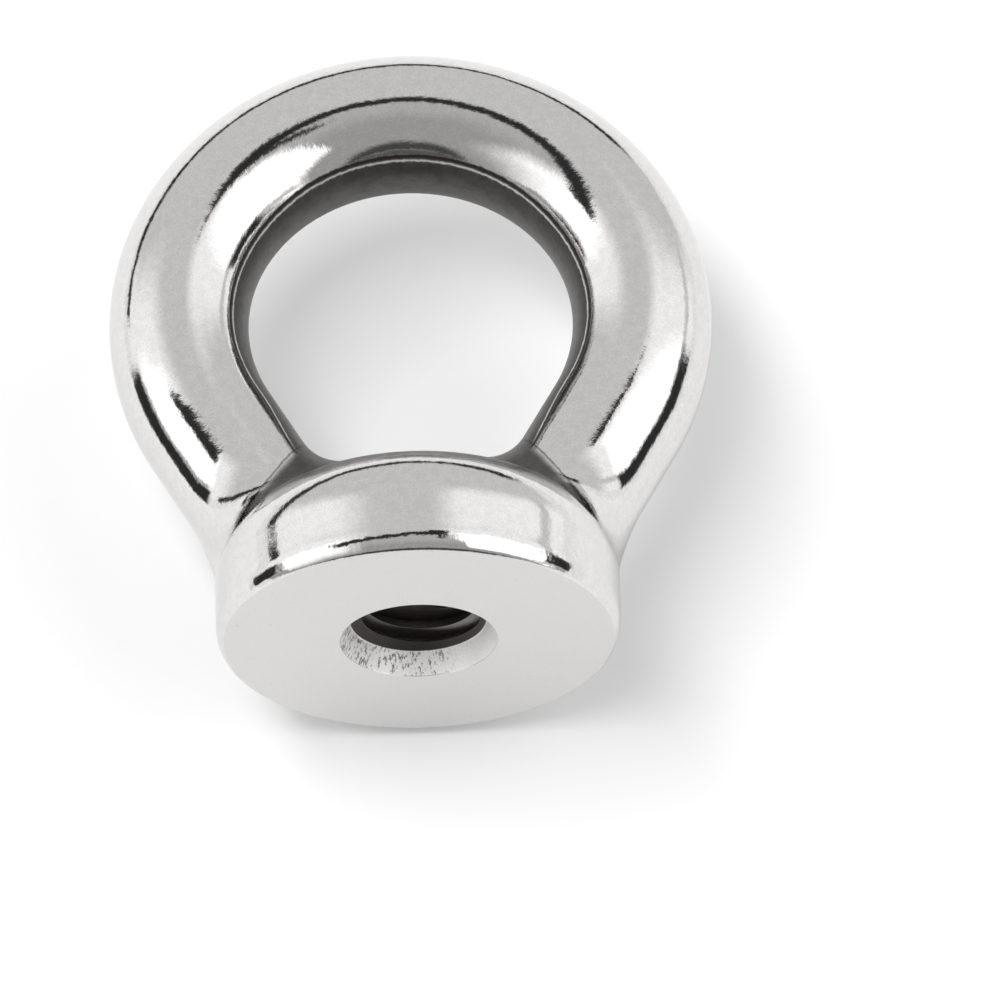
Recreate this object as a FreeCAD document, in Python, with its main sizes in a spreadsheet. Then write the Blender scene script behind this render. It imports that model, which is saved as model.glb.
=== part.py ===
"""Lifting eye nut: a round bow on a drum-shaped collar with a threaded hole, forged in one piece.

Millimetres. The flat face of the collar lies on Z = 0, the thread's axis is Z and the eye's
axis is Y, so the nut stands on its collar with the bow upright in the XZ plane.
"""
import math
import os

import FreeCAD
import Part
import Sketcher
from FreeCAD import Vector

NODE = "eye_nut"
TOUCH = 0.001

SIZES = [
    ("thread_diameter", 10.0, "nominal thread"),
    ("thread_pitch", 1.5, "coarse pitch"),
    ("thread_flank", 30.0, "slope of the thread's run-in at the countersink, in degrees"),
    ("mouth_diameter", 11.6, "countersink at the bearing face"),
    ("mouth_depth", 1.7, "depth of the countersink"),
    ("mouth_clearance", 0.05, "countersink floor beyond the thread, on radius"),
    ("exit_chamfer", 0.8, "chamfer where the hole comes out in the eye"),
    ("collar_diameter", 29.8, "collar at its widest"),
    ("flat_inset", 0.7, "edge of the bearing face inside the collar's widest ring"),
    ("flat_edge", 0.25, "rounding of the bearing face's edge"),
    ("collar_height", 12.2, "tip of the collar's crown on the axis"),
    ("crown_slope", 12.0, "slope of the crown down to the rim, in degrees"),
    ("rim_rounding", 5.7, "rounding of the collar's upper rim"),
    ("bow_diameter", 45.0, "outside of the bow"),
    ("bow_section", 10.4, "round section of the bow"),
    ("bow_height", 26.5, "centre of the bow over the bearing face"),
    ("leg_lean", 30.0, "lean of the legs from upright, in degrees"),
    ("leg_root", 3.6, "lower end of the legs' axis, inside the collar"),
    ("eye_bottom", 14.5, "bottom of the eye over the bearing face"),
    ("bridge_step", 0.5, "sides of the bridge inside the sides of the legs"),
    ("eye_fillet", 3.6, "rounding of the eye's two lower corners"),
    ("root_blend", 3.2, "blend of the legs and the bridge into the collar"),
]

LEAN = "sizes.leg_lean * 1 deg"
BOW_RADIUS = "(sizes.bow_diameter - sizes.bow_section) / 2"
BRIDGE_RADIUS = "(sizes.bow_section / 2 - sizes.bridge_step)"
BRIDGE_HEIGHT = "(sizes.eye_bottom - %s)" % BRIDGE_RADIUS

# A metric nut thread is five eighths of its sharp profile deep, and that profile is an
# equilateral triangle on the pitch.
THREAD_DEPTH = "5 / 8 * sqrt(3) / 2 * sizes.thread_pitch"
MINOR_RADIUS = "(sizes.thread_diameter / 2 - %s)" % THREAD_DEPTH
FLOOR_RADIUS = "(sizes.thread_diameter / 2 + sizes.mouth_clearance)"

START, END, CENTRE = 1, 2, 3
ORIGIN = (-1, 1)
UPRIGHT = -2


def fill_sheet(document):
    """Write the driving sizes, one row each, with the name as the cell's alias."""
    sheet = document.addObject("Spreadsheet::Sheet", "sizes")
    for row, (alias, value, note) in enumerate(SIZES, start=1):
        sheet.set("A%d" % row, alias)
        sheet.set("B%d" % row, "%g" % value)
        sheet.set("C%d" % row, note)
        sheet.setAlias("B%d" % row, alias)
    document.recompute()
    return sheet


def add_sketch(body, name, role):
    """A sketch on one of the body's own origin planes."""
    sketch = body.newObject("Sketcher::SketchObject", name)
    plane = next(item for item in body.Origin.OriginFeatures if item.Role == role)
    sketch.AttachmentSupport = [(plane, "")]
    sketch.MapMode = "FlatFace"
    return sketch


def relate(sketch, *relation):
    sketch.addConstraint(Sketcher.Constraint(*relation))


def bind(sketch, name, expression, *dimension):
    """A dimension of the sketch that follows the sheet."""
    index = sketch.addConstraint(Sketcher.Constraint(*dimension))
    sketch.renameConstraint(index, name)
    sketch.setExpression("Constraints." + name, expression)


def add_line(sketch, start, end):
    return sketch.addGeometry(Part.LineSegment(Vector(*start, 0), Vector(*end, 0)), False)


def add_arc(sketch, centre, radius, first, last):
    """An arc that runs counterclockwise between two angles in degrees."""
    circle = Part.Circle(Vector(*centre, 0), Vector(0, 0, 1), radius)
    arc = Part.ArcOfCircle(circle, math.radians(first), math.radians(last))
    return sketch.addGeometry(arc, False)


def edges_where(feature, wanted):
    """Names of the feature's edges that a test picks."""
    edges = enumerate(feature.Shape.Edges, start=1)
    return ["Edge%d" % number for number, edge in edges if not edge.Degenerated and wanted(edge)]


def add_revolved(body, kind, name, profile):
    """Turn a half profile of the YZ plane right round the thread's axis."""
    feature = body.newObject(kind, name)
    feature.Profile = profile
    feature.ReferenceAxis = (profile, ["V_Axis"])
    feature.Angle = 360
    return feature


def add_rounding(body, name, base, names, size):
    feature = body.newObject("PartDesign::Fillet", name)
    feature.Base = (base, names)
    feature.setExpression("Radius", "sizes." + size)
    return feature


def draw_collar(body):
    """Half section of the collar: flat face, drafted side and rounded rim."""
    sketch = add_sketch(body, "collar_section", "YZ_Plane")
    flat = add_line(sketch, (0, 0), (14, 0))
    edge = add_arc(sketch, (14, 0.3), 0.3, 270, 360)
    side = add_line(sketch, (14.4, 0.3), (14.8, 4))
    rim = add_arc(sketch, (9, 4), 6, 0, 78)
    crown = add_line(sketch, (10, 10), (0, 12))
    axis = add_line(sketch, (0, 12), (0, 0))
    relate(sketch, "Coincident", flat, START, *ORIGIN)
    relate(sketch, "Horizontal", flat)
    relate(sketch, "Tangent", flat, END, edge, START)
    relate(sketch, "Tangent", edge, END, side, START)
    relate(sketch, "Tangent", side, END, rim, START)
    relate(sketch, "Tangent", rim, END, crown, START)
    relate(sketch, "Coincident", crown, END, axis, START)
    relate(sketch, "Coincident", axis, END, flat, START)
    relate(sketch, "Vertical", axis)
    flat_radius = "sizes.collar_diameter / 2 - sizes.flat_inset"
    bind(sketch, "flat_radius", flat_radius, "DistanceX", *ORIGIN, flat, END, 14)
    bind(sketch, "flat_edge", "sizes.flat_edge", "Radius", edge, 0.3)
    bind(sketch, "rim_rounding", "sizes.rim_rounding", "Radius", rim, 6)
    rim_centre = "sizes.collar_diameter / 2 - sizes.rim_rounding"
    bind(sketch, "rim_centre", rim_centre, "DistanceX", *ORIGIN, rim, CENTRE, 9)
    bind(sketch, "height", "sizes.collar_height", "DistanceY", *ORIGIN, crown, END, 12)
    slope = "180 deg - sizes.crown_slope * 1 deg"
    bind(sketch, "slope", slope, "Angle", crown, math.radians(168))
    return sketch


def draw_bow_path(body):
    """The bow's axis: an arc over the eye that runs out into two straight, leaning legs."""
    sketch = add_sketch(body, "bow_path", "XZ_Plane")
    left = add_line(sketch, (-7, 4), (-15, 18))
    over = add_arc(sketch, (0, 26), 17, -30, 210)
    right = add_line(sketch, (15, 18), (7, 4))
    relate(sketch, "PointOnObject", over, CENTRE, UPRIGHT)
    relate(sketch, "Tangent", left, END, over, END)
    relate(sketch, "Tangent", over, START, right, START)
    relate(sketch, "Symmetric", left, START, right, END, UPRIGHT)
    bind(sketch, "radius", BOW_RADIUS, "Radius", over, 17)
    bind(sketch, "height", "sizes.bow_height", "DistanceY", *ORIGIN, over, CENTRE, 26)
    bind(sketch, "root", "sizes.leg_root", "DistanceY", *ORIGIN, left, START, 4)
    bind(sketch, "lean", "90 deg + " + LEAN, "Angle", left, math.radians(120))
    return sketch


def draw_section(body, path):
    """The bow's round section, square to its path at the foot of a leg."""
    sketch = body.newObject("Sketcher::SketchObject", "bow_section")
    sketch.AttachmentSupport = [(path, "Edge1")]
    sketch.MapMode = "NormalToEdge"
    towards_eye = FreeCAD.Rotation(Vector(0, 0, 1), 90)
    sketch.AttachmentOffset = FreeCAD.Placement(Vector(0, 0, 0), towards_eye)
    ring = sketch.addGeometry(Part.Circle(Vector(0, 0, 0), Vector(0, 0, 1), 5), False)
    relate(sketch, "Coincident", ring, CENTRE, *ORIGIN)
    bind(sketch, "section", "sizes.bow_section", "Diameter", ring, 10)
    return sketch


def draw_bridge(body):
    """A round bar laid level between the legs, for the bridge that closes the eye below."""
    sketch = add_sketch(body, "bridge_section", "YZ_Plane")
    ring = sketch.addGeometry(Part.Circle(Vector(0, 10, 0), Vector(0, 0, 1), 5), False)
    relate(sketch, "PointOnObject", ring, CENTRE, UPRIGHT)
    bind(sketch, "section", BRIDGE_RADIUS, "Radius", ring, 5)
    bind(sketch, "height", BRIDGE_HEIGHT, "DistanceY", *ORIGIN, ring, CENTRE, 10)
    return sketch


def draw_bore(body):
    """Half section of the hole: countersink, thread at its minor diameter, chamfer at the eye."""
    sketch = add_sketch(body, "bore_section", "YZ_Plane")
    points = [(0, 0), (5.8, 0), (5.05, 1.7), (4.2, 2.2), (4.2, 13.7), (5.8, 15.3), (0, 15.3)]
    follow = points[1:] + points[:1]
    outline = [add_line(sketch, start, end) for start, end in zip(points, follow)]
    mouth, taper, flank, wall, chamfer, lid, axis = outline
    for line, following in zip(outline, outline[1:] + outline[:1]):
        relate(sketch, "Coincident", line, END, following, START)
    relate(sketch, "Coincident", mouth, START, *ORIGIN)
    relate(sketch, "Horizontal", mouth)
    relate(sketch, "Vertical", wall)
    relate(sketch, "Horizontal", lid)
    relate(sketch, "Vertical", axis)
    bind(sketch, "mouth", "sizes.mouth_diameter / 2", "DistanceX", *ORIGIN, mouth, END, 5.8)
    bind(sketch, "mouth_depth", "sizes.mouth_depth", "DistanceY", *ORIGIN, taper, END, 1.7)
    bind(sketch, "floor", FLOOR_RADIUS, "DistanceX", *ORIGIN, taper, END, 5.05)
    bind(sketch, "minor", MINOR_RADIUS, "DistanceX", *ORIGIN, wall, START, 4.2)
    flank_rise = "(%s - %s) * tan(sizes.thread_flank * 1 deg)" % (FLOOR_RADIUS, MINOR_RADIUS)
    bind(sketch, "flank", flank_rise, "DistanceY", taper, END, flank, END, 0.5)
    chamfer_start = "sizes.eye_bottom - sizes.exit_chamfer"
    bind(sketch, "wall_end", chamfer_start, "DistanceY", *ORIGIN, wall, END, 13.7)
    past_the_eye = "2 * sizes.exit_chamfer"
    bind(sketch, "flare", past_the_eye, "DistanceX", wall, END, chamfer, END, 1.6)
    bind(sketch, "clear", past_the_eye, "DistanceY", wall, END, chamfer, END, 1.6)
    return sketch


doc = FreeCAD.newDocument("lifting_eye_nut")
sizes = fill_sheet(doc)
nut = doc.addObject("PartDesign::Body", NODE)
nut.Label = NODE

collar = add_revolved(nut, "PartDesign::Revolution", "collar", draw_collar(nut))

path = draw_bow_path(nut)
doc.recompute()
bow = nut.newObject("PartDesign::AdditivePipe", "bow")
bow.Profile = draw_section(nut, path)
bow.Spine = (path, ["Edge1", "Edge2", "Edge3"])
doc.recompute()


def is_eye_corner(edge):
    """The curve between a leg and the bridge, whose highest point is the eye's lower corner."""
    at_corner = abs(edge.BoundBox.ZMax - sizes.eye_bottom) < TOUCH
    return at_corner and edge.Curve.TypeId != "Part::GeomLine"


def is_root(edge):
    """The line along which the legs and the bridge stand on the collar."""
    box = edge.BoundBox
    on_collar = box.ZMax < sizes.collar_height + TOUCH and box.ZMin > sizes.flat_edge
    return on_collar and edge.Curve.TypeId == "Part::GeomBSplineCurve"


bridge = nut.newObject("PartDesign::Pad", "bridge")
bridge.Profile = draw_bridge(nut)
bridge.Midplane = True
axis_reach = "%s * cos(%s)" % (BOW_RADIUS, LEAN)
axis_drop = "(sizes.bow_height - %s * sin(%s) - %s)" % (BOW_RADIUS, LEAN, BRIDGE_HEIGHT)
bridge.setExpression("Length", "2 * (%s - %s * tan(%s)) * 1 mm" % (axis_reach, axis_drop, LEAN))
doc.recompute()

corner_names = edges_where(bridge, is_eye_corner)
corners = add_rounding(nut, "eye_corners", bridge, corner_names, "eye_fillet")
doc.recompute()

roots = add_rounding(nut, "roots", corners, edges_where(corners, is_root), "root_blend")
bore = add_revolved(nut, "PartDesign::Groove", "bore", draw_bore(nut))
doc.recompute()

failed = [item.Name for item in doc.Objects if "Invalid" in item.State or "Error" in item.State]
if failed:
    raise RuntimeError("these objects failed: " + ", ".join(failed))
if nut.Shape.isNull() or not nut.Shape.isValid() or len(nut.Shape.Solids) != 1:
    raise RuntimeError("the nut is not one valid solid")
if roots.Shape.Volume - bore.Shape.Volume < TOUCH:
    raise RuntimeError("the bore cut nothing")

os.makedirs("parts", exist_ok=True)
nut.Shape.exportStep("parts/%s.step" % NODE)
print("%s: %.1f mm3, %d faces" % (NODE, nut.Shape.Volume, len(nut.Shape.Faces)))
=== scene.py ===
"""Looks of the lifting eye nut: the forged body as one smooth, closed mesh with a cut thread,
polished steel, a pale backdrop and the light of a white table with two soft boxes.

The body's form is a formula in millimetres with the part's own sizes. It is sampled on a grid,
drawn onto the surface, and closed below by turned rows for the side, the flat face and the hole.
"""
from math import acos, asin, atan2, cos, hypot, pi, radians, sin, sqrt, tan

import bpy
import numpy as np
from mathutils import Matrix, Vector


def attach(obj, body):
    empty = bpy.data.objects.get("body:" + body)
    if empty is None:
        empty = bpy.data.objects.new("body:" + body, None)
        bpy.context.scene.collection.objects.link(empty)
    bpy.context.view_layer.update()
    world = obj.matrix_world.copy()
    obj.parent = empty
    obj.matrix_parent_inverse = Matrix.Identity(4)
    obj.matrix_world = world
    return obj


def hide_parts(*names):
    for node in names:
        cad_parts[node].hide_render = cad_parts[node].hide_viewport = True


NODE = "eye_nut"
PIECE = "forged_eye_nut"
MM = 0.001

# Sizes in millimetres, the same as in the part
BOW_OUTSIDE = 45.0
BOW_SECTION = 10.4
BOW_HEIGHT = 26.5
LEG_LEAN = radians(30)
EYE_BOTTOM = 14.5
BRIDGE_STEP = 0.5
EYE_FILLET = 3.6
ROOT_BLEND = 3.2
COLLAR_RADIUS = 14.9
COLLAR_HEIGHT = 12.2
CROWN_SLOPE = radians(12)
RIM_ROUNDING = 5.7
FLAT_INSET = 0.7
FLAT_EDGE = 0.25
THREAD_RADIUS = 5.0
THREAD_PITCH = 1.5
THREAD_FLANK = radians(30)
MOUTH_RADIUS = 5.8
MOUTH_DEPTH = 1.7
MOUTH_CLEARANCE = 0.05
EXIT_CHAMFER = 0.8

# What follows from them
TUBE = BOW_SECTION / 2
BOW_RADIUS = (BOW_OUTSIDE - BOW_SECTION) / 2
BRIDGE_RADIUS = TUBE - BRIDGE_STEP
BRIDGE_HEIGHT = EYE_BOTTOM - BRIDGE_RADIUS
LEG_TOP_X = BOW_RADIUS * cos(LEG_LEAN)
LEG_TOP_Z = BOW_HEIGHT - BOW_RADIUS * sin(LEG_LEAN)
BRIDGE_END = LEG_TOP_X - (LEG_TOP_Z - BRIDGE_HEIGHT) * tan(LEG_LEAN)
FLAT_RADIUS = COLLAR_RADIUS - FLAT_INSET
RIM_RADIUS = COLLAR_RADIUS - RIM_ROUNDING
CROWN_R = sin(CROWN_SLOPE)
CROWN_Z = cos(CROWN_SLOPE)
RIM_HEIGHT = COLLAR_HEIGHT - (RIM_ROUNDING + RIM_RADIUS * CROWN_R) / CROWN_Z
EDGE_R = FLAT_RADIUS - RIM_RADIUS
EDGE_Z = FLAT_EDGE - RIM_HEIGHT
SIDE_ANGLE = atan2(EDGE_Z, EDGE_R) + acos((RIM_ROUNDING - FLAT_EDGE) / hypot(EDGE_R, EDGE_Z))
THREAD_DEPTH = 5 / 8 * sqrt(3) / 2 * THREAD_PITCH
BORE_RADIUS = THREAD_RADIUS - THREAD_DEPTH
FLOOR_RADIUS = THREAD_RADIUS + MOUTH_CLEARANCE
CHAMFER_START = EYE_BOTTOM - EXIT_CHAMFER

# What only the mesh has: a worn lower edge, wider outer blends and the thread's turns
SKIRT = 4.3
EDGE_RISE = 1.6
OUTER_BLEND = 3.0
SHOULDER_START = 10.5
SHOULDER_WIDTH = 4.0
BRIDGE_FADE = 2
EXIT_LIP = 0.1
THREAD_END = 10.6
RUNOUT = 1.3

# The flat crest and root of the thread, and its profile's corners, as shares of one pitch
CREST_HALF = 1 / 8
ROOT_HALF = 1 / 16
PROFILE_CORNERS = (CREST_HALF, 0.5 - ROOT_HALF, 0.5 + ROOT_HALF, 1 - CREST_HALF)

# How finely the mesh is made
CELL = 0.36
CELL_GAP = 0.4 * CELL
GRID_HALF_X = 23.4
GRID_HALF_Y = 15.8
GRID_TOP = 49.8
ABOVE_HOLE = 17.0
EXIT_SEARCH = (8.0, 16.0)
THREAD_COLUMNS = 120
EDGE_ROWS = 16
SIDE_ROWS = 8
HALVINGS = 40
TINY = 1e-9
SAME_HEIGHT = 1e-6
NEARLY_ONE = 0.999999
OFF_SURFACE = 0.02
EASE = 0.5

# The photograph's camera: in front of the nut and below the eye, with a long lens
VIEW_RISE = radians(28.5)
VIEW_ROLL = radians(1.5)
VIEW_DISTANCE = 0.670
AIM = Vector((0, 0, 0.020))
AIM_PIXEL = (412.6, 401.2)
PIXELS_PER_MM = 13.45
PICTURE = 1000
SENSOR = 36.0
FAR_CLIP = 10

# Colours of the nut
STEEL = (0.85, 0.835, 0.828, 1)
STEEL_GRAIN = (0.64, 0.625, 0.615, 1)
STEEL_CLOUDS = (0.74, 0.725, 0.715, 1)
# Unpolished steel of the eye band and crown, darkened beyond its own colour with painted shade
DULL_STEEL_AND_SHADE = (0.165, 0.158, 0.153, 1)
# Dark spots on the unpolished steel, also used as painted shade in the crown's corners
DARK_SPOTS_AND_CORNER_SHADE = (0.05, 0.046, 0.043, 1)
# Painted shade along the creases, and a painted highlight line between them
WIDE_CREASE_SHADE = (0.03, 0.028, 0.026, 1)
FINE_CREASE_SHADE = (0.02, 0.018, 0.017, 1)
CREASE_HIGHLIGHT = (0.75, 0.73, 0.72, 1)
# Painted shade inside the hole: a dark thread, darker still on its first turn
SHADED_THREAD_STEEL = (0.25, 0.232, 0.22, 1)
FIRST_TURN_SHADE = (0.05, 0.045, 0.04, 1)
FACE_STEEL = (0.765, 0.755, 0.75, 1)
COUNTERSINK_STEEL = (0.97, 0.96, 0.955, 1)
STREAKS = (0.10, 0.092, 0.085, 1)
PITS = (0.30, 0.29, 0.28, 1)
SATIN_GRAIN = (0.5, 0.49, 0.485, 1)

# Gloss of the nut
POLISHED_ROUGH = 0.04
SATIN_ROUGH = 0.42
DULL_ROUGH = 0.36
THREAD_ROUGH = 0.35
STEEL_IOR = 1.3

# Light levels of the room, where 1 is white, and the noise that makes its edges waver
WHITE = (1.0, 1.0, 1.0, 1)
BLACK = 0.028
SOFT_BOX = 1.45
TABLE_WHITE = 0.92
WALL = 0.655
BRIGHT_WALL = 0.40
LOW_DARK = 0.07
LOW_NEAR = 0.38
LOW_FAR = 0.50
END_WALL = 0.65
ROOM_NOISE = 5.0
ROOM_WAVER = (0.10, 0.10, 0.10)

# Patches in front of the nut: between which turns and which rises in degrees, how bright, and how
# soft their left, right, lower and upper ends are
LEFT_BOX = (-78, -37), (-28, 15), SOFT_BOX, (3, 21, 50, 9)
LEFT_BOX_EDGE = (-46, 16), (8.5, 17.5), BLACK, (4, 4, 2, 3)
RIGHT_BOX = (21, 74), (-36, 17), SOFT_BOX, (5, 3, 8, 9)
POST = (12, 16.5), (-2, 21.5), BLACK, (3, 3, 4, 3)
POST_TOP = (6, 18), (16, 23), BLACK, (3, 3, 3, 2)
END_STRIP = (74, 81), (-34, 40), END_WALL, (3, 3, 6, 8)

# The stage: sheets behind and below the nut, and the lamp that gives the soft shadow
PAPER = (0.83, 0.83, 0.83, 1)
TABLE_PLACE = Vector((0, 0.0156, 0.03))
FLOOR_PLACE = Vector((0, 0, -0.0001))
TABLE_GLOW = 0.09
FLOOR_GLOW = 0.38
SHEET_HALF = 0.12
LAMP_LIGHT = 1.8
LAMP_DISTANCE = 2.0
LAMP_WIDTH = 0.6
LAMP_HEIGHT = 1.5
LAMP_TILT = radians(32)
LAMP_TOWARDS = Vector((0.32, 1.0, 0.0))


def unit(vectors):
    return vectors / np.maximum(np.linalg.norm(vectors, axis=-1, keepdims=True), TINY)


def out_of_bow(across, up):
    """The direction in the bow's plane away from its middle: straight along the legs, round above."""
    reach = np.maximum(np.hypot(across, up), TINY)
    on_leg = -across * sin(LEG_LEAN) - up * cos(LEG_LEAN) > 0
    out_x = np.where(on_leg, cos(LEG_LEAN), across / reach)
    out_z = np.where(on_leg, -sin(LEG_LEAN), up / reach)
    return out_x, out_z


def bow_form(p):
    """Distance to the bow with its two legs, and the direction away from it."""
    x, y, up = p[..., 0], p[..., 1], p[..., 2] - BOW_HEIGHT
    across = np.abs(x)
    out_x, out_z = out_of_bow(across, up)
    out = across * out_x + up * out_z - BOW_RADIUS
    distance = np.maximum(np.hypot(out, y), TINY)
    away = np.stack((np.sign(x) * out_x * out, y, out_z * out), axis=-1) / distance[..., None]
    return distance - TUBE, away


def bridge_form(p):
    """The same for the bridge, which fades out inside the legs."""
    x, y, up = p[..., 0], p[..., 1], p[..., 2] - BRIDGE_HEIGHT
    distance = np.maximum(np.hypot(y, up), TINY)
    away = np.stack((np.zeros_like(x), y, up), axis=-1) / distance[..., None]
    past_end = np.maximum(np.abs(x) - BRIDGE_END, 0)
    return distance - BRIDGE_RADIUS + BRIDGE_FADE * past_end, away


def collar_form(p):
    """The same for the collar's crown, rounded rim and side."""
    x, y = p[..., 0], p[..., 1]
    radius = np.maximum(np.hypot(x, y), TINY)
    right, up = radius - RIM_RADIUS, p[..., 2] - RIM_HEIGHT
    angle = np.arctan2(up, right)
    angle = np.where(angle < -pi / 2, pi, angle)
    facing = np.clip(angle, SIDE_ANGLE, pi / 2 - CROWN_SLOPE)
    out_r, out_z = np.cos(facing), np.sin(facing)
    distance = right * out_r + up * out_z - RIM_ROUNDING
    return distance, np.stack((out_r * x / radius, out_r * y / radius, out_z), axis=-1)


def blended(first, second, rounding):
    """Two forms joined with the fillet that a ball rolls between them."""
    (a, away_a), (b, away_b) = first, second
    turn = np.clip((away_a * away_b).sum(-1), -NEARLY_ONE, NEARLY_ONE)
    depth_a, depth_b = rounding - a, rounding - b
    share_a = (depth_a - turn * depth_b) / (1 - turn * turn)
    share_b = (depth_b - turn * depth_a) / (1 - turn * turn)
    rolls = (share_a > 0) & (share_b > 0)
    towards = share_a[..., None] * away_a + share_b[..., None] * away_b
    length = np.linalg.norm(towards, axis=-1)
    nearer = a < b
    value = np.where(rolls, rounding - length, np.where(nearer, a, b))
    plain = np.where(nearer[..., None], away_a, away_b)
    return value, np.where(rolls[..., None], unit(towards), plain)


def root_rounding(p):
    """The fillet between legs and collar, which grows softly towards the shoulders."""
    share = np.clip((np.abs(p[..., 0]) - SHOULDER_START) / SHOULDER_WIDTH, 0, 1)
    return ROOT_BLEND + OUTER_BLEND * share * share * (3 - 2 * share)


def body_form(p):
    """The same for the whole body without its hole."""
    upper = blended(bow_form(p), bridge_form(p), EYE_FILLET)
    return blended(upper, collar_form(p), root_rounding(p))


def drawn(p, rounds=4):
    """Points moved onto the body's surface."""
    for _ in range(rounds):
        distance, away = body_form(p)
        p = p - distance[..., None] * away
    return p


def grid_surface():
    """Quads of the body above the skirt, one vertex in each grid cell that the surface crosses."""
    axes = [
        np.arange(-GRID_HALF_X, GRID_HALF_X, CELL),
        np.arange(-GRID_HALF_Y, GRID_HALF_Y, CELL),
        np.arange(SKIRT - CELL, GRID_TOP, CELL),
    ]
    grid = np.stack(np.meshgrid(*axes, indexing="ij"), axis=-1)
    inside = body_form(grid)[0] < 0
    corners = np.zeros([size - 1 for size in inside.shape], int)
    for shift in np.ndindex(2, 2, 2):
        window = tuple(slice(s, s + size - 1) for s, size in zip(shift, inside.shape))
        corners += inside[window]
    crossed = (corners > 0) & (corners < 8)
    number = np.full(crossed.shape, -1)
    number[crossed] = np.arange(crossed.sum())
    points = grid[:-1, :-1, :-1][crossed] + CELL / 2
    quads = []
    for axis in range(3):
        first, second = (axis + 1) % 3, (axis + 2) % 3
        one, other = np.moveaxis(inside, axis, 0)[:-1], np.moveaxis(inside, axis, 0)[1:]
        changes = np.moveaxis(one != other, 0, axis)
        leaving = np.moveaxis(one & ~other, 0, axis)
        spots = np.argwhere(changes)
        limit = np.array(number.shape)
        keep = (spots[:, first] > 0) & (spots[:, second] > 0)
        keep &= (spots[:, first] < limit[first]) & (spots[:, second] < limit[second])
        spots = spots[keep]
        outward = leaving[tuple(spots.T)]
        around = []
        for back_first, back_second in ((1, 1), (0, 1), (0, 0), (1, 0)):
            cell = spots.copy()
            cell[:, first] -= back_first
            cell[:, second] -= back_second
            around.append(number[tuple(cell.T)])
        ring = np.stack(around, axis=-1)
        quads.append(np.where(outward[:, None], ring, ring[:, ::-1]))
    return drawn(points, 8), np.concatenate(quads)


def kept_part(points, quads, keep):
    """The quads whose four vertices are all kept, with the unused vertices dropped."""
    quads = quads[keep[quads].all(axis=1)]
    used = np.unique(quads)
    number = np.full(len(points), -1)
    number[used] = np.arange(len(used))
    return points[used], number[quads]


def quad_edges(quads):
    return np.concatenate([quads[:, [i, (i + 1) % 4]] for i in range(4)])


def open_loops(quads):
    """Vertex loops along the open edges, each against the order in which its quads run."""
    have = {(int(a), int(b)) for a, b in quad_edges(quads)}
    following = {b: a for a, b in have if (b, a) not in have}
    loops = []
    while following:
        start = next(iter(following))
        loop = [start]
        step = following.pop(start)
        while step != start:
            loop.append(step)
            step = following.pop(step)
        loops.append(np.array(loop))
    return loops


def relaxed(points, quads, pinned, rounds=12):
    """Vertices evened out along the surface, with the pinned ones left in place."""
    edges = quad_edges(quads)
    edges = np.concatenate((edges, edges[:, ::-1]))
    count = np.bincount(edges[:, 0], minlength=len(points))[:, None]
    for _ in range(rounds):
        total = np.zeros_like(points)
        np.add.at(total, edges[:, 0], points[edges[:, 1]])
        moved = drawn(points + EASE * (total / count - points), 2)
        points = np.where(pinned[:, None], points, moved)
    return points


def exit_radius(z):
    """Radius of the hole where it comes out in the eye."""
    return BORE_RADIUS + np.maximum(z - CHAMFER_START, 0)


def exit_point(angle):
    """The point of the hole's rim in the eye at an angle about the thread's axis."""
    low, high = np.full_like(angle, EXIT_SEARCH[0]), np.full_like(angle, EXIT_SEARCH[1])
    for _ in range(HALVINGS):
        middle = (low + high) / 2
        place = round_row(exit_radius(middle), middle, angle)
        inside = body_form(place)[0] < 0
        low, high = np.where(inside, middle, low), np.where(inside, high, middle)
    return place


def upper_body():
    """Points and quads above the skirt, and the loops of the skirt and of the hole's rim."""
    points, quads = grid_surface()
    radius = np.hypot(points[:, 0], points[:, 1])
    clear_of_hole = (radius > exit_radius(points[:, 2]) + CELL_GAP) | (points[:, 2] > ABOVE_HOLE)
    clear_of_skirt = points[:, 2] > SKIRT + CELL_GAP
    points, quads = kept_part(points, quads, clear_of_hole & clear_of_skirt)
    loops = sorted(open_loops(quads), key=lambda loop: -len(loop))
    skirt, rim = loops[0], loops[1]
    pinned = np.zeros(len(points), bool)
    pinned[skirt] = True
    pinned[rim] = True
    skirt_radius = RIM_RADIUS + sqrt(RIM_ROUNDING ** 2 - (SKIRT - RIM_HEIGHT) ** 2)
    points[skirt] = round_row(skirt_radius, SKIRT, np.arctan2(points[skirt, 1], points[skirt, 0]))
    points[rim] = exit_point(np.arctan2(points[rim, 1], points[rim, 0]))
    return relaxed(points, quads, pinned), quads, skirt, rim


def round_row(radius, z, angle):
    """Points at angles about the thread's axis."""
    return np.stack((radius * np.cos(angle), radius * np.sin(angle), z + 0 * angle), axis=-1)


def leaning(angle, out, up):
    """Unit normals that lean from the axis by the same slope all round."""
    return unit(np.stack((out * np.cos(angle), out * np.sin(angle), up + 0 * angle), axis=-1))


def by_angle(points, loop):
    """A loop's vertices in the order of their angles about the thread's axis, and the angles."""
    turn = np.mod(np.arctan2(points[loop, 1], points[loop, 0]), 2 * pi)
    order = np.argsort(turn)
    return loop[order], turn[order]


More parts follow.
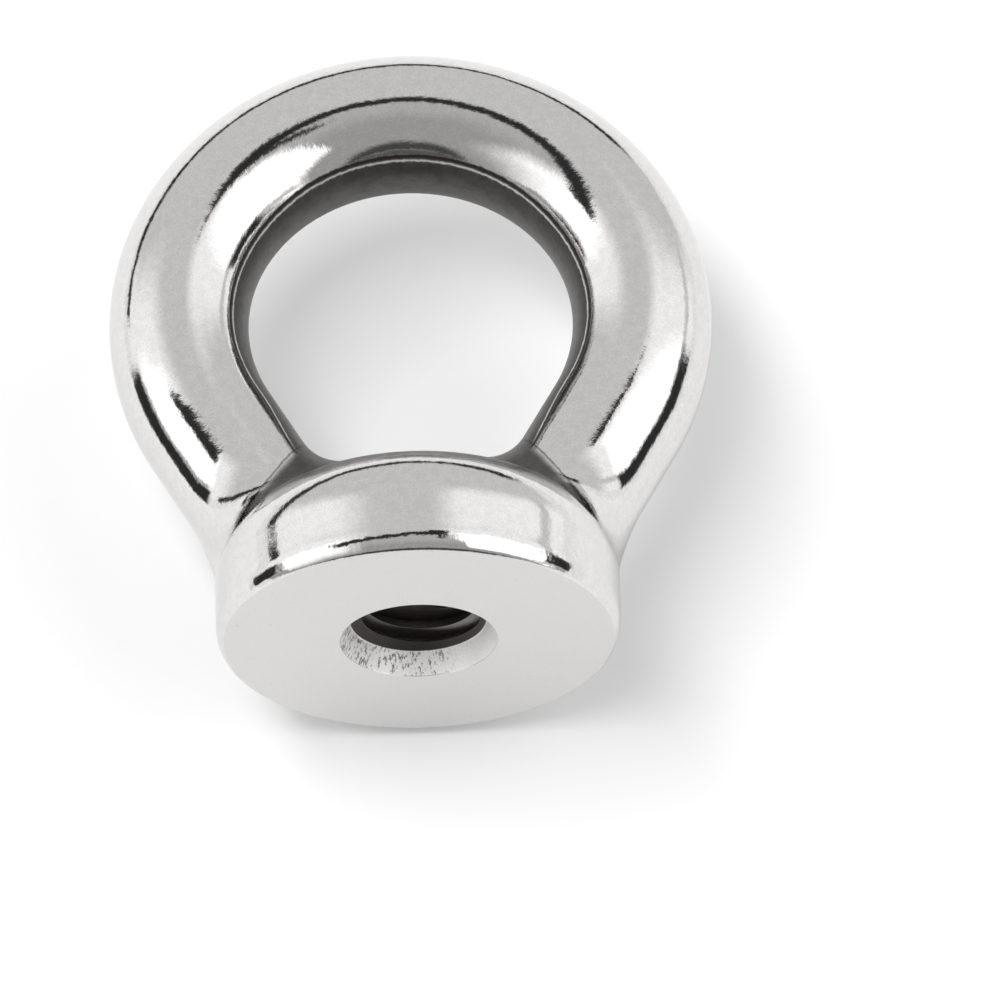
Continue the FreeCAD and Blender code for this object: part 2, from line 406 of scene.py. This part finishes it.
class Shell:
    """Vertices and faces with a normal at every face corner."""

    def __init__(self):
        self.points = []
        self.faces = []
        self.normals = []
        self.count = 0

    def add_points(self, points):
        first = self.count
        self.points.append(np.asarray(points, float))
        self.count += len(points)
        return np.arange(first, self.count)

    def add_faces(self, faces, normals):
        self.faces.extend(np.asarray(faces).tolist())
        self.normals.extend(np.asarray(normals).reshape(-1, 3).tolist())

    def add_quads_without_doubles(self, quads, normals):
        """Quads in which a vertex may come twice, so that some are triangles or nothing."""
        for quad, corner_normals in zip(quads.tolist(), normals.tolist()):
            kept = [i for i in range(4) if quad[i] != quad[i - 1]]
            if len({quad[i] for i in kept}) < len(kept) or len(kept) < 3:
                continue
            self.faces.append([quad[i] for i in kept])
            self.normals.extend(corner_normals[i] for i in kept)

    def strip(self, first, second, normal_first, normal_second):
        """Quads between two closed rows with equal counts; the normals are one for each vertex."""
        ahead = np.roll(np.arange(len(first)), -1)
        faces = np.stack((first, first[ahead], second[ahead], second), axis=-1)
        a, b = normal_first, normal_second
        self.add_faces(faces, np.stack((a, a[ahead], b[ahead], b), axis=1))

    def turned_strip(self, first, second, turn, first_place, second_place):
        """A straight strip between two rows that are each given by a radius and a height."""
        out, up = second_place[1] - first_place[1], first_place[0] - second_place[0]
        normal = leaning(turn, out, up)
        self.strip(first, second, normal, normal)

    def zipper(self, first, second, angle_first, angle_second, normal_first, normal_second):
        """Triangles between two closed rows with different counts, matched by angle."""
        i = j = 0
        faces, normals = [], []
        n, m = len(first), len(second)
        whole = 2 * pi
        while i < n or j < m:
            next_first = angle_first[(i + 1) % n] + whole * ((i + 1) // n)
            next_second = angle_second[(j + 1) % m] + whole * ((j + 1) // m)
            a, b = i % n, j % m
            if j == m or (i < n and next_first < next_second):
                c = (i + 1) % n
                faces.append((first[a], first[c], second[b]))
                normals.append((normal_first[a], normal_first[c], normal_second[b]))
                i += 1
            else:
                c = (j + 1) % m
                faces.append((first[a], second[c], second[b]))
                normals.append((normal_first[a], normal_second[c], normal_second[b]))
                j += 1
        self.faces.extend([[int(v) for v in face] for face in faces])
        self.normals.extend([list(map(float, normal)) for corner in normals for normal in corner])


def thread_radius(z, angle):
    """Radius of the threaded wall at a height and an angle, for a right-hand thread."""
    phase = np.mod(z / THREAD_PITCH - angle / (2 * pi), 1.0)
    from_root = np.abs(phase - 0.5)
    rise = np.clip((0.5 - from_root - CREST_HALF) / (0.5 - CREST_HALF - ROOT_HALF), 0, 1)
    fade = np.clip((THREAD_END - z) / RUNOUT, 0, 1)
    return BORE_RADIUS + THREAD_DEPTH * rise * fade


def thread_rows(angle):
    """Heights of the threaded wall's start and rows at each angle. The rows are the corners of the
    thread's profile, which climb by one pitch a turn, held between the start and the run-out."""
    turns = np.arange(-1, int(THREAD_END / THREAD_PITCH) + 2)
    marks = (turns[:, None] + np.array(PROFILE_CORNERS)[None, :]).reshape(-1)
    heights = (marks[:, None] + angle[None, :] / (2 * pi)) * THREAD_PITCH
    low = np.full_like(angle, MOUTH_DEPTH)
    high = np.full_like(angle, MOUTH_DEPTH + THREAD_DEPTH + MOUTH_CLEARANCE)
    for _ in range(HALVINGS):
        middle = (low + high) / 2
        cone = FLOOR_RADIUS - (middle - MOUTH_DEPTH) / tan(THREAD_FLANK)
        on_cone = cone > thread_radius(middle, angle)
        low, high = np.where(on_cone, middle, low), np.where(on_cone, high, middle)
    start = (low + high) / 2
    return start, np.clip(heights, start, THREAD_END)


def add_thread(shell, turn, top):
    """The threaded wall below the row at its top. It gives its lowest row, with radius and height."""
    start, heights = thread_rows(turn)
    base = shell.add_points(round_row(thread_radius(start, turn), start, turn))
    radii = thread_radius(heights, turn)
    at_start = heights <= start + SAME_HEIGHT
    fresh = ~at_start & (heights < THREAD_END - SAME_HEIGHT)
    number = np.where(at_start, base, top)
    number[fresh] = shell.add_points(round_row(radii, heights, np.broadcast_to(turn, heights.shape))[fresh])
    rows = len(heights)
    corners = len(PROFILE_CORNERS)
    ahead_turn = np.roll(turn, -1)
    for k in range(rows - 1):
        lower, upper = number[k], number[k + 1]
        ahead_lower, ahead_upper = np.roll(lower, -1), np.roll(upper, -1)
        ahead_lower[-1] = number[min(k + corners, rows - 1), 0]
        ahead_upper[-1] = number[min(k + corners + 1, rows - 1), 0]
        rise = heights[k + 1] - heights[k]
        climb = (radii[k + 1] - radii[k]) / np.maximum(rise, SAME_HEIGHT)
        slope = np.where(rise > SAME_HEIGHT, climb, 0)
        here = unit(np.stack((-np.cos(turn), -np.sin(turn), slope), -1))
        there = unit(np.stack((-np.cos(ahead_turn), -np.sin(ahead_turn), slope), -1))
        quads = np.stack((upper, ahead_upper, ahead_lower, lower), -1)
        shell.add_quads_without_doubles(quads, np.stack((here, there, there, here), 1))
    return base, radii[0], start


def side_profile():
    """Radius, height and facing of the collar's side, from the flat face up to the skirt: a worn
    edge that rises steeply, and above it a side that is nearly upright."""
    lean = asin((RIM_HEIGHT - SKIRT) / RIM_ROUNDING)
    top_radius = RIM_RADIUS + RIM_ROUNDING * cos(lean)
    side_drop = tan(lean) * (SKIRT - EDGE_RISE) / 2
    width = top_radius - side_drop - FLAT_RADIUS
    profile = []
    for step in range(1, EDGE_ROWS + 1):
        turn = pi / 2 * (1 - step / EDGE_ROWS)
        facing = -atan2(sin(turn) / EDGE_RISE, cos(turn) / width)
        profile.append((FLAT_RADIUS + width * cos(turn), EDGE_RISE * (1 - sin(turn)), facing))
    for step in range(1, SIDE_ROWS):
        share = step / SIDE_ROWS
        z = EDGE_RISE + (SKIRT - EDGE_RISE) * share
        profile.append((top_radius - side_drop * (1 - share * share), z, -lean * share))
    return profile


def facing_eye(points):
    """How much each point of the upper body faces the eye, from -1 to 1, fading to 0 over the
    collar. The material finds the eye's unpolished band, darkened with painted shade, by this."""
    bow, bridge = bow_form(points), bridge_form(points)
    upper, away = blended(bow, bridge, EYE_FILLET)
    out_x, out_z = out_of_bow(np.abs(points[:, 0]), points[:, 2] - BOW_HEIGHT)
    from_bow = -(away[:, 0] * out_x * np.sign(points[:, 0]) + away[:, 2] * out_z)
    on_bow = np.clip((bridge[0] - bow[0]) / 2 + 0.5, 0, 1)
    facing = from_bow * on_bow + away[:, 2] * (1 - on_bow)
    nearest, farthest = np.minimum(bow[0], bridge[0]), np.maximum(bow[0], bridge[0])
    in_corner = (nearest > OFF_SURFACE) & (farthest < EYE_FILLET)
    facing = np.where(in_corner, np.hypot(away[:, 0], away[:, 2]), facing)
    return facing * np.clip(2 - upper / ROOT_BLEND, 0, 1)


def build_nut():
    """The whole nut: upper body, hole from the eye down to its mouth, flat face and side. It also
    gives how much each vertex faces the eye."""
    shell = Shell()
    points, quads, skirt, rim = upper_body()
    shell.add_points(points)
    away = body_form(points)[1]
    shell.add_faces(quads, away[quads])
    skirt, skirt_turn = by_angle(points, skirt)
    rim, rim_turn = by_angle(points, rim)

    rim_z = points[rim, 2]
    rim_radius = np.hypot(points[rim, 0], points[rim, 1])
    neck_z = np.minimum(rim_z - EXIT_LIP, CHAMFER_START)
    neck = shell.add_points(round_row(BORE_RADIUS, neck_z, rim_turn))
    shell.turned_strip(rim, neck, rim_turn, (rim_radius, rim_z), (BORE_RADIUS, neck_z))

    turn = np.arange(THREAD_COLUMNS) * 2 * pi / THREAD_COLUMNS
    top = shell.add_points(round_row(BORE_RADIUS, THREAD_END, turn))
    shell.zipper(neck, top, rim_turn, turn, -leaning(rim_turn, 1, 0), -leaning(turn, 1, 0))
    base, base_radius, base_z = add_thread(shell, turn, top)

    floor = shell.add_points(round_row(FLOOR_RADIUS, MOUTH_DEPTH, turn))
    shell.turned_strip(base, floor, turn, (base_radius, base_z), (FLOOR_RADIUS, MOUTH_DEPTH))
    mouth = shell.add_points(round_row(MOUTH_RADIUS, 0.0, turn))
    shell.turned_strip(floor, mouth, turn, (FLOOR_RADIUS, MOUTH_DEPTH), (MOUTH_RADIUS, 0.0))
    below = shell.add_points(round_row(FLAT_RADIUS, 0.0, skirt_turn))
    below_normal = leaning(skirt_turn, 0, -1)
    shell.zipper(mouth, below, turn, skirt_turn, leaning(turn, 0, -1), below_normal)

    for radius, z, facing in side_profile():
        row = shell.add_points(round_row(radius, z, skirt_turn))
        normal = leaning(skirt_turn, cos(facing), sin(facing))
        shell.strip(below, row, below_normal, normal)
        below, below_normal = row, normal
    shell.strip(below, skirt, below_normal, away[skirt])

    rest = shell.count - len(points)
    return shell, np.concatenate((facing_eye(points), np.full(rest, -1.0)))


def node_tree(owner):
    """An emptied node tree of a material or a world."""
    owner.use_nodes = True
    owner.node_tree.nodes.clear()
    return owner.node_tree


class Sums:
    """Short forms for the number nodes of one tree."""

    def __init__(self, tree):
        self.tree = tree

    def node(self, kind, **settings):
        made = self.tree.nodes.new(kind)
        for name, value in settings.items():
            setattr(made, name, value)
        return made

    def link(self, value, socket):
        if hasattr(value, "is_output"):
            self.tree.links.new(value, socket)
        else:
            socket.default_value = value

    def math(self, operation, *values):
        made = self.node("ShaderNodeMath", operation=operation)
        for value, socket in zip(values, made.inputs):
            self.link(value, socket)
        return made.outputs[0]

    def times(self, *values):
        product = values[0]
        for value in values[1:]:
            product = self.math("MULTIPLY", product, value)
        return product

    def plus(self, first, second):
        return self.math("ADD", first, second)

    def scaled(self, value, factor, added):
        return self.math("MULTIPLY_ADD", value, factor, added)

    def vector(self, operation, *values):
        made = self.node("ShaderNodeVectorMath", operation=operation)
        for value, socket in zip(values, made.inputs):
            self.link(value, socket)
        return made.outputs["Value"] if operation in ("DOT_PRODUCT", "LENGTH") else made.outputs[0]

    def between(self, value, low, high):
        """0 at low and 1 at high, smooth in between; low may be the larger."""
        if low < high:
            made = self.node("ShaderNodeMapRange", interpolation_type="SMOOTHSTEP")
            self.link(value, made.inputs["Value"])
            made.inputs["From Min"].default_value = low
            made.inputs["From Max"].default_value = high
            return made.outputs["Result"]
        return self.math("SUBTRACT", 1.0, self.between(value, high, low))

    def band(self, value, low, high, soft_low, soft_high):
        """1 between low and high, with soft ends of their own widths."""
        rise = self.between(value, low - soft_low / 2, low + soft_low / 2)
        fall = self.between(value, high + soft_high / 2, high - soft_high / 2)
        return self.times(rise, fall)

    def mix(self, share, first, second):
        made = self.node("ShaderNodeMix", data_type="FLOAT")
        self.link(share, made.inputs[0])
        self.link(first, made.inputs[2])
        self.link(second, made.inputs[3])
        return made.outputs[0]

    def tinted(self, before, share, to):
        """A colour mixed with another by a share."""
        made = self.node("ShaderNodeMix", data_type="RGBA")
        self.link(share, made.inputs[0])
        self.link(before, made.inputs[6])
        self.link(to, made.inputs[7])
        return made.outputs[2]


class SteelPlaces:
    """Where the nut is satin, unpolished or threaded, and where painted shade and a painted highlight go
    along creases and in corners, each as a share, and its noises. Lengths are in millimetres."""

    def __init__(self, sums):
        self.sums = sums
        place = sums.node("ShaderNodeTexCoord").outputs["Object"]
        self.millimetres = sums.vector("SCALE", place)
        self.millimetres.node.inputs["Scale"].default_value = 1 / MM
        split = sums.node("ShaderNodeSeparateXYZ")
        sums.link(self.millimetres, split.inputs[0])
        self.x, _, self.z = split.outputs
        self.outwards = sums.math("ABSOLUTE", self.x)
        self.radius = sums.vector("LENGTH", sums.vector("MULTIPLY", self.millimetres, (1.0, 1.0, 0.0)))
        self.peel = self.noise(0.45)
        self.grain = self.noise(2.6, 3.0, 0.6)
        self.fine = self.noise(9.0, 2.0, 0.6)
        self.blotches = self.noise(0.9, 3.0, 0.6)
        self.uneven = sums.math("SUBTRACT", self.grain, 0.5)
        self.find_underside()
        self.find_eye()
        self.find_root()
        # Unpolished places: matte, and their colour darkened with painted shade
        self.matte_and_shaded = sums.math("MAXIMUM", self.eye, self.root)

    def noise(self, scale, detail=2.0, roughness=0.5, stretch=None):
        made = self.sums.node("ShaderNodeTexNoise")
        made.inputs["Scale"].default_value = scale
        made.inputs["Detail"].default_value = detail
        made.inputs["Roughness"].default_value = roughness
        where = self.millimetres
        if stretch is not None:
            where = self.sums.vector("MULTIPLY", where, stretch)
        self.sums.link(where, made.inputs["Vector"])
        return made.outputs["Fac"]

    def find_underside(self):
        """The flat face, the countersink and the hole, which ends softly below the eye."""
        sums, radius, z = self.sums, self.radius, self.z
        self.face = sums.between(z, 0.06, 0.01)
        near_mouth = sums.between(radius, 5.95, 5.9)
        in_mouth = sums.between(z, MOUTH_DEPTH + 0.04, MOUTH_DEPTH)
        self.countersink = sums.times(near_mouth, in_mouth, sums.between(z, 0.0, 0.1))
        self.satin = sums.math("MAXIMUM", self.face, self.countersink)
        in_hole = sums.times(sums.between(radius, 5.2, 5.15), sums.between(z, 12.0, 10.5))
        self.thread = sums.times(in_hole, sums.between(z, MOUTH_DEPTH, MOUTH_DEPTH + 0.05))

    def find_eye(self):
        """The eye's unpolished band, darkened with painted shade, by how much the surface faces the eye. It
        is wider in the upper half and narrower near the bridge. Along its border run a painted shade line
        for the crease, a painted highlight line and a wider band of painted shade that fades out."""
        sums = self.sums
        facing = sums.node("ShaderNodeAttribute", attribute_name="towards_eye").outputs["Fac"]
        border = sums.scaled(sums.between(self.z, 22.0, 36.0), -0.11, facing)
        border = sums.scaled(sums.between(self.z, 19.0, 14.0), 0.08, border)
        ragged = sums.scaled(self.uneven, 0.025, border)
        self.eye = sums.between(ragged, 0.705, 0.725)
        # Painted shade along the band's border, and a painted highlight line between its creases
        self.first_crease_shade = sums.band(ragged, 0.715, 0.75, 0.02, 0.02)
        self.crease_highlight_line = sums.band(ragged, 0.76, 0.775, 0.01, 0.01)
        self.second_crease_shade = sums.band(ragged, 0.78, 0.88, 0.02, 0.12)

    def find_root(self):
        """The unpolished crown between the legs, darkened with painted shade, a painted shade line along
        the legs' crease and painted shade in its corners.
        """
        sums, outwards = self.sums, self.outwards
        slanted = sums.scaled(self.z, 0.52, sums.times(outwards, 0.86))
        slanted = sums.scaled(self.uneven, 0.25, slanted)
        height = sums.scaled(outwards, 0.08, sums.scaled(self.uneven, 0.25, self.z))
        on_crown = sums.between(height, 7.9, 8.9)
        inside_legs = sums.between(slanted, 14.9, 14.2)
        self.root = sums.times(on_crown, inside_legs, sums.between(outwards, 14.0, 9.5))
        # A painted shade line along the legs' crease on the crown
        along_legs = sums.band(slanted, 14.78, 14.93, 0.08, 0.08)
        self.root_crease_shade = sums.times(on_crown, along_legs, sums.between(outwards, 14.5, 11.0))
        # Painted shade in the crown's corners
        self.corner = sums.times(self.root, sums.between(outwards, 4.0, 8.0))
        self.clear = sums.math("SUBTRACT", 1.0, self.root)


def steel_colour(sums, at):
    x, z, clear = at.x, at.z, at.clear
    shade = sums.tinted(STEEL, sums.between(at.fine, 0.40, 0.85), STEEL_GRAIN)
    shade = sums.tinted(shade, sums.between(at.noise(1.6, 4.0, 0.7), 0.35, 0.75), STEEL_CLOUDS)
    # The unpolished eye band and crown: matte steel darkened with painted shade, with dark spots and
    # blotches
    shade = sums.tinted(shade, at.matte_and_shaded, DULL_STEEL_AND_SHADE)
    shade = sums.tinted(shade, sums.times(at.matte_and_shaded, sums.between(at.grain, 0.42, 0.72), 0.4), DARK_SPOTS_AND_CORNER_SHADE)
    shade = sums.tinted(shade, sums.times(at.matte_and_shaded, sums.between(at.blotches, 0.40, 0.70), 0.4), DARK_SPOTS_AND_CORNER_SHADE)
    # Painted shade in the crown's corners at the legs
    shade = sums.tinted(shade, sums.times(at.corner, 0.6), DARK_SPOTS_AND_CORNER_SHADE)
    # Painted shade: a wide band along the eye's crease
    shade = sums.tinted(shade, sums.times(at.second_crease_shade, clear, 0.7), WIDE_CREASE_SHADE)
    # A thin painted shade line along the eye's crease and along the legs' crease
    thin = sums.math("MAXIMUM", sums.times(at.first_crease_shade, clear, 0.9), sums.times(at.root_crease_shade, 0.6))
    shade = sums.tinted(shade, thin, FINE_CREASE_SHADE)
    above_bridge = sums.between(z, 14.0, 15.5)
    # A painted highlight line between the eye's creases
    shade = sums.tinted(shade, sums.times(at.crease_highlight_line, clear, above_bridge, 0.85), CREASE_HIGHLIGHT)
    # Painted shade inside the hole: a dark thread, darker still on its first turn
    shade = sums.tinted(shade, at.thread, SHADED_THREAD_STEEL)
    first_turn = sums.between(z, MOUTH_DEPTH + 0.7, MOUTH_DEPTH + 0.5)
    shade = sums.tinted(shade, sums.times(at.thread, first_turn), FIRST_TURN_SHADE)
    shade = sums.tinted(shade, at.face, FACE_STEEL)
    shade = sums.tinted(shade, at.countersink, COUNTERSINK_STEEL)
    streaks = sums.between(at.noise(1.4, 4.0, 0.7, (3.0, 3.0, 0.9)), 0.52, 0.60)
    on_left = sums.between(x, 3.2, 1.0)
    shade = sums.tinted(shade, sums.times(at.countersink, streaks, on_left, 0.85), STREAKS)
    pits = sums.between(at.noise(3.0, 2.0, 0.5), 0.72, 0.76)
    near_edge = sums.between(at.radius, 9.0, 12.5)
    shade = sums.tinted(shade, sums.times(at.face, pits, near_edge, 0.7), PITS)
    return sums.tinted(shade, sums.times(at.satin, sums.between(at.fine, 0.35, 0.75), 0.25), SATIN_GRAIN)


def steel_metal(sums, at):
    metal = sums.math("SUBTRACT", 1.0, sums.times(at.matte_and_shaded, 0.6))
    return sums.math("SUBTRACT", metal, sums.times(at.countersink, 0.8))


def steel_rough(sums, at):
    rough = sums.mix(at.satin, sums.scaled(at.grain, 0.05, POLISHED_ROUGH), SATIN_ROUGH)
    rough = sums.mix(at.matte_and_shaded, rough, DULL_ROUGH)
    return sums.mix(at.thread, rough, THREAD_ROUGH)


def steel_height(sums, at):
    """Height in millimetres: soft waves all over, waves along the collar's lower edge, and grain."""
    height = sums.scaled(at.peel, 0.022, sums.times(at.grain, 0.0065))
    height = sums.plus(height, sums.times(at.fine, 0.0012))
    height = sums.plus(height, sums.times(at.noise(0.7), sums.between(at.z, 2.2, 1.2), 0.04))
    unpolished = sums.math("MAXIMUM", at.satin, at.matte_and_shaded)
    return sums.plus(height, sums.times(unpolished, sums.plus(at.fine, at.grain), 0.004))


def steel():
    """Polished stainless steel, with a satin face and countersink, a thread darkened with painted shade,
    and an eye and a crown that are matte where the polishing wheel didn't reach them and darker there with
    painted shade."""
    material = bpy.data.materials.new("polished_steel")
    tree = node_tree(material)
    sums = Sums(tree)
    at = SteelPlaces(sums)
    bump = sums.node("ShaderNodeBump")
    bump.inputs["Distance"].default_value = MM
    sums.link(steel_height(sums, at), bump.inputs["Height"])
    shader = sums.node("ShaderNodeBsdfPrincipled")
    shader.inputs["IOR"].default_value = STEEL_IOR
    sums.link(steel_metal(sums, at), shader.inputs["Metallic"])
    sums.link(steel_colour(sums, at), shader.inputs["Base Color"])
    sums.link(steel_rough(sums, at), shader.inputs["Roughness"])
    sums.link(bump.outputs["Normal"], shader.inputs["Normal"])
    out = sums.node("ShaderNodeOutputMaterial")
    tree.links.new(shader.outputs[0], out.inputs["Surface"])
    return material


def add_nut():
    shell, towards_eye = build_nut()
    points = np.concatenate(shell.points) * MM
    mesh = bpy.data.meshes.new(PIECE)
    mesh.from_pydata(points.tolist(), [], shell.faces)
    mesh.shade_smooth()
    mesh.normals_split_custom_set(shell.normals)
    mesh.attributes.new("towards_eye", "FLOAT", "POINT").data.foreach_set("value", towards_eye)
    piece = bpy.data.objects.new(PIECE, mesh)
    bpy.context.collection.objects.link(piece)
    mesh.materials.append(steel())
    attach(piece, "root")
    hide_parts(NODE)


def add_camera():
    camera = bpy.data.cameras.new("camera")
    camera.sensor_width = SENSOR
    camera.lens = PIXELS_PER_MM * VIEW_DISTANCE / MM * SENSOR / PICTURE
    camera.shift_x = (PICTURE / 2 - AIM_PIXEL[0]) / PICTURE
    camera.shift_y = (AIM_PIXEL[1] - PICTURE / 2) / PICTURE
    camera.clip_end = FAR_CLIP
    forward = Vector((0, cos(VIEW_RISE), sin(VIEW_RISE)))
    turned = forward.to_track_quat("-Z", "Y").to_matrix() @ Matrix.Rotation(-VIEW_ROLL, 3, "Z")
    holder = bpy.data.objects.new("camera", camera)
    holder.matrix_world = Matrix.Translation(AIM - forward * VIEW_DISTANCE) @ turned.to_4x4()
    bpy.context.collection.objects.link(holder)
    bpy.context.scene.camera = holder


def wavering_ray(sums):
    """The direction of a ray, shifted a little by noise, so that the room's edges waver."""
    ray = sums.node("ShaderNodeTexCoord").outputs["Generated"]
    noise = sums.node("ShaderNodeTexNoise")
    noise.inputs["Scale"].default_value = ROOM_NOISE
    sums.link(ray, noise.inputs["Vector"])
    shift = sums.vector("SUBTRACT", noise.outputs["Color"], (0.5, 0.5, 0.5))
    uneven = sums.vector("MULTIPLY_ADD", shift, ROOM_WAVER, ray)
    split = sums.node("ShaderNodeSeparateXYZ")
    sums.link(sums.vector("NORMALIZE", uneven), split.inputs[0])
    return split.outputs


def room_light(sums, x, y, z):
    """Light by its direction: a grey room with two soft boxes, their black edges and a dark floor
    in front of the nut, a white table behind it, and black strips where the two meet."""
    turn = sums.math("DEGREES", sums.math("ARCTAN2", x, sums.math("MULTIPLY", y, -1.0)))
    rise = sums.math("DEGREES", sums.math("ARCSINE", z))

    def patch(level, across, up, turns, rises, light, soft):
        on_turns = sums.band(across, *turns, soft[0], soft[1])
        on_rises = sums.band(up, *rises, soft[2], soft[3])
        return sums.mix(sums.times(on_turns, on_rises), level, light)

    low = sums.mix(sums.between(rise, -25, 0), LOW_NEAR, LOW_FAR)
    low = sums.mix(sums.between(rise, -62, -54), LOW_DARK, low)
    sides = sums.math("MAXIMUM", sums.between(x, 0.10, 0.42), sums.between(x, -0.30, -0.70))
    high = sums.scaled(sums.times(sides, sums.between(rise, 44, 26)), BRIGHT_WALL, WALL)
    room = sums.mix(sums.between(rise, 9, 13), low, high)

    tilted = sums.scaled(turn, -0.17, rise)
    lowered = sums.scaled(sums.math("MINIMUM", rise, 0.0), 0.40, turn)
    room = patch(room, turn, rise, *LEFT_BOX)
    room = patch(room, turn, tilted, *LEFT_BOX_EDGE)
    room = patch(room, lowered, rise, *RIGHT_BOX)
    room = patch(room, turn, rise, *POST)
    room = patch(room, turn, rise, *POST_TOP)
    room = patch(room, turn, rise, *END_STRIP)
    light = sums.mix(sums.between(y, 0.0, 0.05), room, TABLE_WHITE)

    seam = sums.times(sums.band(y, -0.055, 0.055, 0.03, 0.03), sums.between(rise, 23, 27))
    left_or_high = sums.math("MAXIMUM", sums.between(x, 0.40, 0.20), sums.between(rise, 56, 62))
    light = sums.mix(sums.times(seam, left_or_high), light, BLACK)
    sideways = sums.scaled(x, 0.06, y)
    flags = sums.times(sums.band(sideways, -0.19, 0.11, 0.05, 0.05), sums.band(rise, -12, 14, 6, 5))
    return sums.mix(flags, light, BLACK)


def add_world():
    """The room's light. The camera itself sees white."""
    world = bpy.data.worlds.new("studio")
    bpy.context.scene.world = world
    tree = node_tree(world)
    sums = Sums(tree)
    light = room_light(sums, *wavering_ray(sums))
    seen = sums.node("ShaderNodeLightPath").outputs["Is Camera Ray"]
    background = sums.node("ShaderNodeBackground")
    background.inputs["Color"].default_value = WHITE
    sums.link(sums.mix(seen, light, 1.0), background.inputs["Strength"])
    out = sums.node("ShaderNodeOutputWorld")
    tree.links.new(background.outputs[0], out.inputs["Surface"])


def paper_material(name, glow):
    """Pale paper with a glow that only the camera sees, and clear from behind."""
    material = bpy.data.materials.new(name)
    tree = node_tree(material)
    sums = Sums(tree)
    paper = sums.node("ShaderNodeBsdfDiffuse")
    paper.inputs["Color"].default_value = PAPER
    light = sums.node("ShaderNodeEmission")
    seen = sums.node("ShaderNodeLightPath").outputs["Is Camera Ray"]
    sums.link(sums.times(seen, glow), light.inputs["Strength"])
    front = sums.node("ShaderNodeAddShader")
    tree.links.new(paper.outputs[0], front.inputs[0])
    tree.links.new(light.outputs[0], front.inputs[1])
    clear = sums.node("ShaderNodeBsdfTransparent")
    one_sided = sums.node("ShaderNodeMixShader")
    tree.links.new(sums.node("ShaderNodeNewGeometry").outputs["Backfacing"], one_sided.inputs[0])
    tree.links.new(front.outputs[0], one_sided.inputs[1])
    tree.links.new(clear.outputs[0], one_sided.inputs[2])
    out = sums.node("ShaderNodeOutputMaterial")
    tree.links.new(one_sided.outputs[0], out.inputs["Surface"])
    return material


def add_paper(name, turned, place, glow):
    """A pale sheet that only shows from its front, so that it never hides the nut."""
    half = SHEET_HALF
    corners = [(-half, -half, 0), (half, -half, 0), (half, half, 0), (-half, half, 0)]
    mesh = bpy.data.meshes.new(name)
    mesh.from_pydata(corners, [], [(0, 1, 2, 3)])
    mesh.materials.append(paper_material(name, glow))
    sheet = bpy.data.objects.new(name, mesh)
    sheet.matrix_world = Matrix.Translation(place) @ turned.to_4x4()
    sheet.visible_shadow = False
    bpy.context.collection.objects.link(sheet)
    return sheet


def add_stage():
    """The table behind the nut, the floor under its flat face, and a soft lamp."""
    add_paper("table", Matrix.Rotation(radians(90), 3, "X"), TABLE_PLACE, TABLE_GLOW)
    floor = add_paper("floor", Matrix.Identity(3), FLOOR_PLACE, FLOOR_GLOW)
    floor.visible_glossy = False
    floor.visible_diffuse = False
    away = LAMP_DISTANCE * LAMP_TOWARDS.length
    lamp = bpy.data.lights.new("soft_lamp", "AREA")
    lamp.shape = "RECTANGLE"
    lamp.size = LAMP_WIDTH
    lamp.size_y = LAMP_HEIGHT
    lamp.energy = LAMP_LIGHT * pi * away * away
    holder = bpy.data.objects.new("soft_lamp", lamp)
    turned = LAMP_TOWARDS.to_track_quat("-Z", "Y").to_matrix().to_4x4()
    tilted = Matrix.Rotation(LAMP_TILT, 4, "Z")
    holder.matrix_world = Matrix.Translation(-LAMP_DISTANCE * LAMP_TOWARDS) @ turned @ tilted
    holder.visible_glossy = False
    holder.visible_camera = False
    bpy.context.collection.objects.link(holder)


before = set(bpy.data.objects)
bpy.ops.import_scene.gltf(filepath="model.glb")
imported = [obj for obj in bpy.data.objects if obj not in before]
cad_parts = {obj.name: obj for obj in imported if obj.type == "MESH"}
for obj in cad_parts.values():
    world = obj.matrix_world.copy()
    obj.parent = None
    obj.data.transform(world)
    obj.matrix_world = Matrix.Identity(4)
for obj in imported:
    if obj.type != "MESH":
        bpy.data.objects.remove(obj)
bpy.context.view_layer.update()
add_nut()
add_camera()
add_world()
add_stage()
bpy.context.scene.view_settings.view_transform = "Standard"
